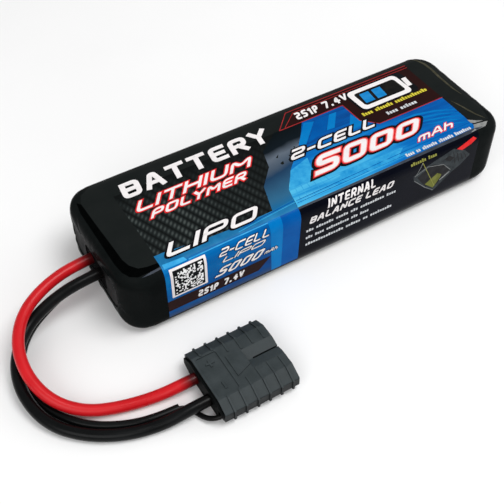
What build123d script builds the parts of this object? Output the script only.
"""Two-cell lithium-polymer battery pack with leads and a charge connector, in millimetres.

The pack lies flat. The origin is the middle of its underside, +X runs along it away from
the leads and +Z is up. The leads leave the -X end, loop round on the table and end in a
connector that lies in front of the pack.
"""

import os
from math import pi, radians, tan

from build123d import *

# ---- the pack ----
PACK_LENGTH = 138.0
PACK_WIDTH = 45.0
PACK_HEIGHT = 24.5
CORNER_RADIUS = 8.3  # upright corners, seen from above
EDGE_RADIUS = 5.5  # long and end edges, top and bottom
MID_HEIGHT = PACK_HEIGHT / 2
LEAD_END = -PACK_LENGTH / 2
BLIND_END = PACK_LENGTH / 2

# ---- shrink film and the hard shell under it ----
FILM = 0.3
SHELL_OUTSIDE = 0.35  # how far the shell stands in from the outside of the film
SHELL_INSIDE = 1.4
FILM_MOUTH = (31.0, 11.5)  # hole left where the film folds over each end
FILM_MOUTH_RADIUS = 5.0
LIP_OUTSIDE = 0.9  # tongue that locates the upper shell on the lower one
LIP_HEIGHT = 1.0
LIP_GAP = 0.05
WINDOW = (14.0, 8.6)  # lead window through the shell, across and up
WINDOW_RADIUS = 2.0
WINDOW_HEIGHT = 11.6
SEAL_OUTSIDE = 0.6  # how far the foam seal stands in from the film's outside
SEAL_THICKNESS = 1.6
SEAL_FIT = 0.05  # gap all round the seal in its window
BORE_GAP = 0.1  # added to a cord's diameter where it passes through a piece

# ---- pouch cells ----
CELL_START = LEAD_END + 13.5
CELL_LENGTH = 118.5
CELL_WIDTH = 41.0
CELL_THICKNESS = 9.9
CELL_CORNER = 3.0  # seen from above
CELL_EDGE = 2.85  # round the top and bottom
CELL_FLANGE = (3.0, 36.0, 0.4)  # sealed edge that the tabs come out of
CELL_FLOOR = 2.1
DIVIDER = 0.5
STACK_HEIGHT = 2 * CELL_THICKNESS + DIVIDER
UPPER_CELL_FLOOR = CELL_FLOOR + CELL_THICKNESS + DIVIDER
CELL_MIDDLE_X = CELL_START + CELL_LENGTH / 2
LOWER_TAB_HEIGHT = CELL_FLOOR + CELL_THICKNESS / 2
UPPER_TAB_HEIGHT = UPPER_CELL_FLOOR + CELL_THICKNESS / 2
PAD_SIZE = (104.0, 33.0, 0.5)  # foam above and below the cells
PAD_GAP = 0.05
TAPE_THICKNESS = 0.1
TAPE_GAP = 0.03
TAPE_WIDTH = 19.0
TAPE_ROUNDING = 2.65  # a little tighter than the cells' edges, so the band stays off them
TAPE_PLACES = (CELL_MIDDLE_X - 36.0, CELL_MIDDLE_X + 36.0)
END_FOAM = (4.2, 30.0, 15.0)
END_FOAM_GAP = 0.2  # between the foam and the shell's end wall
END_FOAM_START = BLIND_END - SHELL_INSIDE - END_FOAM[0] - END_FOAM_GAP

# ---- tab board at the lead end ----
BOARD_FACE = -60.6  # the side that the leads are soldered to
BOARD = (1.0, 36.0, 17.0)
SHEET_START = -59.2
SHEET = (0.3, 38.0, 18.0)
BOARD_CORNER = 1.0
COPPER = 0.1
COPPER_AREAS = [  # middle and size of each area, across and up
    ((8.9, 13.7), (15.2, 6.6)),  # positive, from the upper cell's tab to its lead
    ((-11.8, 12.25), (8.4, 9.4)),  # series link between the cells
    ((-0.4, 9.4), (1.8, 3.0)),  # balance
    ((5.5, 5.2), (22.2, 2.6)),  # negative, along the board's foot
    ((-3.6, 9.4), (4.0, 9.6)),  # and up to its lead
]
TAB_OFFSET = 12.0  # tabs stand this far each side of the middle
TAB_PLACES = [
    (side * TAB_OFFSET, height)
    for side in (-1, 1)
    for height in (LOWER_TAB_HEIGHT, UPPER_TAB_HEIGHT)
]
TAB_WIDTH = 8.0
TAB_THICKNESS = 0.25
TAB_SLOT = (8.6, 0.7)
TAB_FOLD = 2.8  # length that an outer tab lies folded on the copper
SERIES_GAP = 0.4  # between the two folded tabs that join the cells
SOLDER_TIP = -63.5
SOLDER_TIP_SHARE = 0.4  # tip radius of the solder, as a share of the cord's diameter
LEAD_SOLDER = 2.2
WIRE_SOLDER = 0.9

# ---- leads ----
LEAD_DIAMETER = 3.5
SLEEVE_DIAMETER = 2.5
SLEEVE_BORE = 1.9
WIRE_DIAMETER = 1.5

POSITIVE_ROUTE = [
    (-63.5, 3.4, 12.2),
    (-74.0, 3.4, 12.2),
    (-84.4, 0.9, 11.8),
    (-93.4, -4.3, 11.0),
    (-99.0, -12.9, 9.8),
    (-100.3, -22.8, 7.6),
    (-97.3, -31.7, 4.6),
    (-90.5, -37.9, 2.3),
    (-81.5, -41.4, 1.85),
    (-71.6, -43.5, 2.0),
    (-63.6, -44.8, 3.8),
    (-57.0, -44.8, 3.8),
]

NEGATIVE_ROUTE = [
    (-63.5, -3.0, 12.0),
    (-74.0, -3.0, 12.0),
    (-84.0, -3.6, 10.2),
    (-93.7, -6.3, 6.0),
    (-101.0, -14.4, 2.9),
    (-103.4, -25.2, 1.8),
    (-100.5, -36.0, 1.8),
    (-93.3, -44.3, 1.8),
    (-83.8, -49.6, 1.8),
    (-74.0, -52.2, 2.0),
    (-66.0, -52.8, 3.8),
    (-57.0, -52.8, 3.8),
]

SLEEVED_ROUTE = [  # the sleeve and the wire inside it share this stretch
    (-63.5, -0.4, 10.0),
    (-74.0, -0.4, 10.0),
    (-84.0, -1.8, 7.2),
    (-92.4, -6.6, 2.6),
    (-98.0, -15.1, 1.35),
    (-100.0, -25.2, 1.35),
    (-97.4, -34.8, 1.35),
    (-91.0, -41.9, 1.35),
    (-82.5, -46.7, 1.35),
    (-74.2, -48.95, 1.4),
]
SLEEVE_END = (-67.8, -49.5, 1.4)
WIRE_TAIL = [
    (-68.0, -49.5, 1.4),
    (-65.9, -50.65, 1.2),
    (-64.5, -52.6, 0.95),
    (-63.6, -55.0, 1.15),
    (-62.1, -57.35, 1.95),
    (-59.85, -58.65, 2.9),
    (-57.1, -58.85, 3.3),
]

# ---- connector ----
CONNECTOR_REAR = -59.3
CONNECTOR_LENGTH = 23.6
CONNECTOR_FRONT = CONNECTOR_REAR + CONNECTOR_LENGTH
CONNECTOR_Y = -48.8
CONNECTOR_HEIGHT = 7.6
CONNECTOR_Z = CONNECTOR_HEIGHT / 2
HALF_WIDTH = 11.7
FLAT_HALF_WIDTH = 7.75  # half of the flat top, between the sloping shoulders
SHOULDER_DROP = 2.2
HOUSING_ROUNDING = 0.5
FRONT_ROUNDING = 0.25
CUT_PAST = 2.0  # how far a cut runs past the piece that it cuts
RIB_PITCH = 3.72
RIB_START = CONNECTOR_REAR + 2.6
RIB_WIDTH = 0.6
RIB_HEIGHT = 0.35
RIB_ON_TOP = 0.2
RIB_REACH = (7.3, 7.3, 4.8, 3.6, 3.6, 3.6)  # how near each rib comes to the middle, on top
VALLEY_LENGTH = 10.1
VALLEY_HALF_WIDTH = 3.4
VALLEY_DEPTH = 1.1
SLOT_LENGTH = 8.1
SLOT_WIDTH = 0.5
SLOT_DEPTH = 2.1
POINTER_LENGTH = 4.9
POINTER_WIDE = 3.7  # half width at the end towards the leads
POINTER_NARROW = 1.9
POINTER_HEIGHT = 0.25
PANEL = (6.4, 13.8)
PANEL_MARGIN = 0.8  # from the rear of the housing
PANEL_CORNER = 0.6
PANEL_DEPTH = 0.25
MARK_LENGTH = 2.6
MARK_WIDTH = 0.6
POLE_OFFSET = 4.0
SOCKET = (6.2, 3.6)
SOCKET_START = CONNECTOR_REAR + 8.3
SOCKET_ROUNDING = 0.5
POCKET_WALL = 0.7
POCKET_DEPTH = 2.3
INSERT_PROUD = 0.7
INSERT_FIT = 0.05
CONTACT_Y = -58.8
CONTACT_Z = 3.3
CONTACT_SLOT = (1.2, 2.2)
NOTCH = (2.4, 2.6)  # opening at the insert's edge for the balance wire

# ---- terminals, sized along the leads, across and up ----
CORD_STOP = -57.0  # where the leads end inside the connector
BARREL_DIAMETER = 4.0
BARREL_BORE = 4.3
BARREL_LENGTH = 5.6
NECK = (1.6, 2.6, 1.6)
RECEPTACLE = (11.4, 5.6, 3.0)
RECEPTACLE_WALL = 0.5
CONTACT_BLADE = (16.5, 0.6, 1.6)

STANDING = (Align.CENTER, Align.CENTER, Align.MIN)
REACHING = (Align.MIN, Align.CENTER, Align.CENTER)


def bend_radii(route):
    """Give the largest arc that the two runs beside each corner leave room for."""
    points = [Vector(*point) for point in route]
    radii = []
    for before, corner, after in zip(points, points[1:], points[2:]):
        arriving = corner - before
        leaving = after - corner
        half_turn = radians(arriving.get_angle(leaving)) / 2
        radii.append(0.45 * min(arriving.length, leaving.length) / tan(half_turn))
    return radii


def cord(name, route, diameter, bore=0.0):
    """Sweep a round cord, hollow where it has a bore, along straight runs and tangent arcs."""
    radii = bend_radii(route)
    first_run = Vector(*route[1]) - Vector(*route[0])
    with BuildPart() as piece:
        with BuildLine() as path:
            FilletPolyline(*route, radius=radii)
        with BuildSketch(Plane(origin=route[0], z_dir=first_run)):
            Circle(diameter / 2)
            if bore:
                Circle(bore / 2, mode=Mode.SUBTRACT)
        sweep(path=path.wires()[0])
    expected = pi / 4 * (diameter**2 - bore**2) * path.wires()[0].length
    print(
        f"{name}: length {path.wires()[0].length:.1f}, volume {piece.part.volume:.1f}"
        f" of {expected:.1f}, radii {[round(radius, 1) for radius in radii]}"
    )
    return piece.part


def rounded_block(inset):
    """Make the pack's outer form, drawn in by an even inset."""
    with BuildPart() as block:
        with BuildSketch(Plane.XY.offset(inset)):
            RectangleRounded(
                PACK_LENGTH - 2 * inset, PACK_WIDTH - 2 * inset, CORNER_RADIUS - inset
            )
        extrude(amount=PACK_HEIGHT - 2 * inset)
        level_faces = block.faces().filter_by(Plane.XY)
        fillet(level_faces.edges(), EDGE_RADIUS - inset)
    return block.part


def shell_wall(outer_inset, inner_inset):
    """Make the closed wall between two insets of the pack, with the lead window cut in it."""
    with BuildPart() as wall:
        add(rounded_block(outer_inset))
        add(rounded_block(inner_inset), mode=Mode.SUBTRACT)
        with BuildSketch(Plane.YZ.offset(LEAD_END)):
            with Locations((0, WINDOW_HEIGHT)):
                RectangleRounded(*WINDOW, WINDOW_RADIUS)
        extrude(amount=2 * SHELL_INSIDE, both=True, mode=Mode.SUBTRACT)
    return wall.part


def level_slice(form, floor, height):
    """Keep only the level slice of a form that starts at a floor."""
    with BuildPart() as slab:
        add(form)
        with Locations((0, 0, floor)):
            Box(PACK_LENGTH, PACK_WIDTH, height, align=STANDING, mode=Mode.INTERSECT)
    return slab.part


def pouch_cell(floor):
    """Make one foil pouch cell with the sealed flange at its tab end."""
    with BuildPart() as cell:
        with BuildSketch(Plane.XY.offset(floor)):
            with Locations((CELL_MIDDLE_X, 0)):
                RectangleRounded(CELL_LENGTH, CELL_WIDTH, CELL_CORNER)
        extrude(amount=CELL_THICKNESS)
        fillet(cell.faces().filter_by(Plane.XY).edges(), CELL_EDGE)
        with Locations((CELL_START, 0, floor + CELL_THICKNESS / 2)):
            Box(CELL_FLANGE[0] + CELL_CORNER, CELL_FLANGE[1], CELL_FLANGE[2])
    return cell.part


def foam_pad(floor, thickness):
    """Make a level foam pad as large as the flat of a cell."""
    with BuildPart() as pad:
        with Locations((CELL_MIDDLE_X, 0, floor)):
            Box(PAD_SIZE[0], PAD_SIZE[1], thickness, align=STANDING)
    return pad.part


def slotted_sheet(start, size):
    """Make an upright sheet across the pack with a slot for each cell tab."""
    with BuildPart() as sheet:
        with BuildSketch(Plane.YZ.offset(start)):
            with Locations((0, MID_HEIGHT)):
                RectangleRounded(size[1], size[2], BOARD_CORNER)
            with Locations(*TAB_PLACES):
                Rectangle(*TAB_SLOT, mode=Mode.SUBTRACT)
        extrude(amount=size[0])
    return sheet.part


def cell_tab(side_y, slot_height, fold_height):
    """Make a foil tab that passes through the board and folds flat on its outer face."""
    inner = BOARD_FACE - COPPER
    outer = inner - TAB_THICKNESS
    root = CELL_START - (CELL_FLANGE[0] + CELL_CORNER) / 2
    step = TAB_THICKNESS / 2 if fold_height < slot_height else -TAB_THICKNESS / 2
    with BuildPart() as tab:
        with BuildSketch(Plane.XZ.offset(-side_y)):
            with BuildLine():
                Polyline(
                    (root, slot_height + step),
                    (outer, slot_height + step),
                    (outer, fold_height),
                    (inner, fold_height),
                    (inner, slot_height - step),
                    (root, slot_height - step),
                    close=True,
                )
            make_face()
        extrude(amount=TAB_WIDTH / 2, both=True)
    return tab.part


def solder_cone(cord_start, diameter, base_radius):
    """Make the solder that joins a cord's end to the board, widening towards the board."""
    with BuildPart() as cone:
        for x, radius in (
            (SOLDER_TIP, diameter * SOLDER_TIP_SHARE),
            (BOARD_FACE - COPPER, base_radius),
        ):
            with BuildSketch(Plane.YZ.offset(x)):
                with Locations((cord_start[1], cord_start[2])):
                    Circle(radius)
        loft()
    return cone.part


def housing_outline(grow=0.0):
    """Draw the connector's eight-sided section about its middle, grown evenly all round."""
    top = CONNECTOR_HEIGHT / 2
    quarter = [(HALF_WIDTH, top - SHOULDER_DROP), (FLAT_HALF_WIDTH, top)]
    upper = quarter + [(-y, z) for y, z in reversed(quarter)]
    with BuildSketch() as outline:
        Polygon(*upper, *[(-y, -z) for y, z in upper])
        if grow:
            offset(amount=grow, kind=Kind.INTERSECTION)
    return outline.sketch


def terminal(pole_y):
    """Make a crimp terminal: a barrel on the lead, a neck and a sprung receptacle."""
    neck_start = CORD_STOP + BARREL_LENGTH
    receptacle_start = neck_start + NECK[0]
    with BuildPart() as piece:
        with BuildSketch(Plane.YZ.offset(CORD_STOP)):
            with Locations((pole_y, CONNECTOR_Z)):
                Circle(BARREL_DIAMETER / 2)
        extrude(amount=BARREL_LENGTH)
        with Locations((neck_start, pole_y, CONNECTOR_Z)):
            Box(*NECK, align=REACHING)
        with Locations((receptacle_start, pole_y, CONNECTOR_Z)):
            Box(*RECEPTACLE, align=REACHING)
        with Locations((receptacle_start + RECEPTACLE_WALL, pole_y, CONNECTOR_Z)):
            Box(
                RECEPTACLE[0],
                RECEPTACLE[1] - 2 * RECEPTACLE_WALL,
                RECEPTACLE[2] - 2 * RECEPTACLE_WALL,
                align=REACHING,
                mode=Mode.SUBTRACT,
            )
    return piece.part


finished = []


def keep(part, name):
    """Name a finished piece so that it is written out at the end."""
    part.label = name
    finished.append(part)


# ---- shrink film ----
with BuildPart() as shrink_sleeve:
    add(rounded_block(0.0))
    add(rounded_block(FILM), mode=Mode.SUBTRACT)
    for end in (LEAD_END, BLIND_END):
        with BuildSketch(Plane.YZ.offset(end)):
            with Locations((0, MID_HEIGHT)):
                RectangleRounded(*FILM_MOUTH, FILM_MOUTH_RADIUS)
        extrude(amount=2 * FILM, both=True, mode=Mode.SUBTRACT)
keep(shrink_sleeve.part, "shrink_sleeve")

# ---- hard shell in two halves, the lower one with a locating lip ----
whole_shell = shell_wall(SHELL_OUTSIDE, SHELL_INSIDE)
lip_ring = shell_wall(LIP_OUTSIDE, SHELL_INSIDE)
lip_room = rounded_block(LIP_OUTSIDE - LIP_GAP)

with BuildPart() as lower_shell:
    add(level_slice(whole_shell, 0, MID_HEIGHT))
    add(level_slice(lip_ring, MID_HEIGHT, LIP_HEIGHT))
keep(lower_shell.part, "lower_shell")

with BuildPart() as upper_shell:
    add(level_slice(whole_shell, MID_HEIGHT, MID_HEIGHT))
    add(level_slice(lip_room, MID_HEIGHT, LIP_HEIGHT + LIP_GAP), mode=Mode.SUBTRACT)
keep(upper_shell.part, "upper_shell")

# ---- foam seal round the leads in the shell's window ----
with BuildPart() as lead_exit_seal:
    with BuildSketch(Plane.YZ.offset(LEAD_END + SEAL_OUTSIDE)):
        with Locations((0, WINDOW_HEIGHT)):
            RectangleRounded(WINDOW[0] - 2 * SEAL_FIT, WINDOW[1] - 2 * SEAL_FIT, WINDOW_RADIUS)
        for start, diameter in (
            (POSITIVE_ROUTE[0], LEAD_DIAMETER),
            (NEGATIVE_ROUTE[0], LEAD_DIAMETER),
            (SLEEVED_ROUTE[0], SLEEVE_DIAMETER),
        ):
            with Locations((start[1], start[2])):
                Circle((diameter + BORE_GAP) / 2, mode=Mode.SUBTRACT)
    extrude(amount=SEAL_THICKNESS)
keep(lead_exit_seal.part, "lead_exit_seal")

# ---- cells, and the foam and tape that hold them ----
keep(pouch_cell(CELL_FLOOR), "cell_lower")
keep(pouch_cell(UPPER_CELL_FLOOR), "cell_upper")
keep(foam_pad(CELL_FLOOR + CELL_THICKNESS, DIVIDER), "cell_divider_pad")
keep(foam_pad(SHELL_INSIDE + PAD_GAP, PAD_SIZE[2]), "bottom_foam_pad")
keep(foam_pad(PACK_HEIGHT - SHELL_INSIDE - PAD_GAP - PAD_SIZE[2], PAD_SIZE[2]), "top_foam_pad")

tape_inside = (CELL_WIDTH + 2 * TAPE_GAP, STACK_HEIGHT + 2 * TAPE_GAP)
tape_outside = (tape_inside[0] + 2 * TAPE_THICKNESS, tape_inside[1] + 2 * TAPE_THICKNESS)
with BuildPart() as tape_bands:
    for place in TAPE_PLACES:
        with BuildSketch(Plane.YZ.offset(place)):
            with Locations((0, CELL_FLOOR + STACK_HEIGHT / 2)):
                RectangleRounded(*tape_outside, TAPE_ROUNDING + TAPE_THICKNESS)
                RectangleRounded(*tape_inside, TAPE_ROUNDING, mode=Mode.SUBTRACT)
        extrude(amount=TAPE_WIDTH / 2, both=True)
keep(tape_bands.part, "cell_tape_bands")

with BuildPart() as end_foam:
    with Locations((END_FOAM_START, 0, MID_HEIGHT)):
        Box(*END_FOAM, align=REACHING)
keep(end_foam.part, "blind_end_foam")

# ---- tab board, its insulating sheet, its copper and the tabs soldered to it ----
keep(slotted_sheet(BOARD_FACE, BOARD), "tab_board")
keep(slotted_sheet(SHEET_START, SHEET), "board_insulator")

with BuildPart() as board_pads:
    with BuildSketch(Plane.YZ.offset(BOARD_FACE)):
        for middle, size in COPPER_AREAS:
            with Locations(middle):
                Rectangle(*size)
    extrude(amount=-COPPER)
keep(board_pads.part, "board_pads")

keep(cell_tab(TAB_OFFSET, UPPER_TAB_HEIGHT, UPPER_TAB_HEIGHT - TAB_FOLD), "upper_positive_tab")
keep(cell_tab(-TAB_OFFSET, UPPER_TAB_HEIGHT, MID_HEIGHT + SERIES_GAP / 2), "upper_negative_tab")
keep(cell_tab(-TAB_OFFSET, LOWER_TAB_HEIGHT, MID_HEIGHT - SERIES_GAP / 2), "lower_positive_tab")
keep(cell_tab(TAB_OFFSET, LOWER_TAB_HEIGHT, LOWER_TAB_HEIGHT - TAB_FOLD), "lower_negative_tab")

keep(solder_cone(POSITIVE_ROUTE[0], LEAD_DIAMETER, LEAD_SOLDER), "solder_positive")
keep(solder_cone(NEGATIVE_ROUTE[0], LEAD_DIAMETER, LEAD_SOLDER), "solder_negative")
keep(solder_cone(SLEEVED_ROUTE[0], WIRE_DIAMETER, WIRE_SOLDER), "solder_balance")

# ---- cords ----
keep(cord("positive_lead", POSITIVE_ROUTE, LEAD_DIAMETER), "positive_lead")
keep(cord("negative_lead", NEGATIVE_ROUTE, LEAD_DIAMETER), "negative_lead")
keep(
    cord("balance_sleeve", SLEEVED_ROUTE + [SLEEVE_END], SLEEVE_DIAMETER, SLEEVE_BORE),
    "balance_sleeve",
)
keep(cord("balance_wire", SLEEVED_ROUTE + WIRE_TAIL, WIRE_DIAMETER), "balance_wire")

# ---- connector housing ----
with BuildPart() as housing:
    with BuildSketch(Plane.YZ.offset(CONNECTOR_REAR)):
        with Locations((CONNECTOR_Y, CONNECTOR_Z)):
            add(housing_outline())
    extrude(amount=CONNECTOR_LENGTH)
    fillet(housing.edges().filter_by(Axis.X), HOUSING_ROUNDING)
    fillet(housing.faces().sort_by(Axis.X)[-1].edges(), FRONT_ROUNDING)

    # grip ribs over the shoulders and sides, shorter on top where the valley lies
    for number, reach in enumerate(RIB_REACH):
        with BuildSketch(Plane.YZ.offset(RIB_START + number * RIB_PITCH)):
            with Locations((CONNECTOR_Y, CONNECTOR_Z)):
                add(housing_outline(RIB_HEIGHT))
                Rectangle(
                    2 * (HALF_WIDTH + RIB_HEIGHT),
                    CONNECTOR_HEIGHT + 2 * RIB_ON_TOP,
                    mode=Mode.INTERSECT,
                )
                Rectangle(2 * reach, CONNECTOR_HEIGHT + CUT_PAST, mode=Mode.SUBTRACT)
            with Locations((CONNECTOR_Y, -CUT_PAST / 2)):
                Rectangle(2 * (HALF_WIDTH + CUT_PAST), CUT_PAST, mode=Mode.SUBTRACT)
        extrude(amount=RIB_WIDTH)

    # valley and slot between the two poles, above and below
    for surface, inward in ((CONNECTOR_HEIGHT, -1), (0.0, 1)):
        with BuildSketch(Plane.YZ.offset(CONNECTOR_FRONT)):
            with BuildLine():
                Polyline(
                    (CONNECTOR_Y - VALLEY_HALF_WIDTH, surface),
                    (CONNECTOR_Y, surface + inward * VALLEY_DEPTH),
                    (CONNECTOR_Y + VALLEY_HALF_WIDTH, surface),
                    (CONNECTOR_Y + VALLEY_HALF_WIDTH, surface - inward * CUT_PAST),
                    (CONNECTOR_Y - VALLEY_HALF_WIDTH, surface - inward * CUT_PAST),
                    close=True,
                )
            make_face()
        extrude(amount=-VALLEY_LENGTH, mode=Mode.SUBTRACT)
        with BuildSketch(Plane.YZ.offset(CONNECTOR_FRONT)):
            with Locations((CONNECTOR_Y, surface)):
                Rectangle(SLOT_WIDTH, 2 * SLOT_DEPTH)
        extrude(amount=-SLOT_LENGTH, mode=Mode.SUBTRACT)

    # raised pointer on top, and a shallow panel with a plus and a minus mark
    pointer_tip = CONNECTOR_FRONT - VALLEY_LENGTH
    with BuildSketch(Plane.XY.offset(CONNECTOR_HEIGHT)):
        with BuildLine():
            Polyline(
                (pointer_tip - POINTER_LENGTH, CONNECTOR_Y - POINTER_WIDE),
                (pointer_tip, CONNECTOR_Y - POINTER_NARROW),
                (pointer_tip, CONNECTOR_Y + POINTER_NARROW),
                (pointer_tip - POINTER_LENGTH, CONNECTOR_Y + POINTER_WIDE),
                close=True,
            )
        make_face()
    extrude(amount=POINTER_HEIGHT)
    panel_x = CONNECTOR_REAR + PANEL_MARGIN + PANEL[0] / 2
    with BuildSketch(Plane.XY.offset(CONNECTOR_HEIGHT)):
        with Locations((panel_x, CONNECTOR_Y)):
            RectangleRounded(*PANEL, PANEL_CORNER)
        with Locations((panel_x, CONNECTOR_Y - POLE_OFFSET), (panel_x, CONNECTOR_Y + POLE_OFFSET)):
            Rectangle(MARK_WIDTH, MARK_LENGTH, mode=Mode.SUBTRACT)
        with Locations((panel_x, CONNECTOR_Y + POLE_OFFSET)):
            Rectangle(MARK_LENGTH, MARK_WIDTH, mode=Mode.SUBTRACT)
    extrude(amount=-PANEL_DEPTH, mode=Mode.SUBTRACT)

    # sockets for the mating blades, barrel bores behind them and the rear pocket
    for side in (-1, 1):
        pole_y = CONNECTOR_Y + side * POLE_OFFSET
        with BuildSketch(Plane.YZ.offset(CONNECTOR_FRONT)):
            with Locations((pole_y, CONNECTOR_Z)):
                RectangleRounded(*SOCKET, SOCKET_ROUNDING)
        extrude(amount=SOCKET_START - CONNECTOR_FRONT, mode=Mode.SUBTRACT)
        with BuildSketch(Plane.YZ.offset(SOCKET_START)):
            with Locations((pole_y, CONNECTOR_Z)):
                Circle(BARREL_BORE / 2)
        extrude(amount=CONNECTOR_REAR - SOCKET_START, mode=Mode.SUBTRACT)
    with BuildSketch(Plane.YZ.offset(CONNECTOR_FRONT)):
        with Locations((CONTACT_Y, CONTACT_Z)):
            Rectangle(*CONTACT_SLOT)
    extrude(amount=CORD_STOP - CONNECTOR_FRONT, mode=Mode.SUBTRACT)
    with BuildSketch(Plane.YZ.offset(CONNECTOR_REAR)):
        with Locations((CONNECTOR_Y, CONNECTOR_Z)):
            add(housing_outline(-POCKET_WALL))
    extrude(amount=POCKET_DEPTH, mode=Mode.SUBTRACT)
keep(housing.part, "connector_housing")

# ---- insert that closes the back of the housing round the leads ----
with BuildPart() as rear_insert:
    with BuildSketch(Plane.YZ.offset(CONNECTOR_REAR - INSERT_PROUD)):
        with Locations((CONNECTOR_Y, CONNECTOR_Z)):
            add(housing_outline(-POCKET_WALL - INSERT_FIT))
        for side in (-1, 1):
            with Locations((CONNECTOR_Y + side * POLE_OFFSET, CONNECTOR_Z)):
                Circle((LEAD_DIAMETER + BORE_GAP) / 2, mode=Mode.SUBTRACT)
        with Locations((CONTACT_Y, CONTACT_Z)):
            Rectangle(*NOTCH, mode=Mode.SUBTRACT)
    extrude(amount=INSERT_PROUD + POCKET_DEPTH - INSERT_FIT)
keep(rear_insert.part, "connector_rear_insert")

# ---- terminals ----
keep(terminal(CONNECTOR_Y + POLE_OFFSET), "positive_terminal")
keep(terminal(CONNECTOR_Y - POLE_OFFSET), "negative_terminal")

with BuildPart() as balance_contact:
    with Locations((CORD_STOP, CONTACT_Y, CONTACT_Z)):
        Box(*CONTACT_BLADE, align=REACHING)
keep(balance_contact.part, "balance_contact")

os.makedirs("parts", exist_ok=True)
for part in finished:
    export_step(part, f"parts/{part.label}.step")
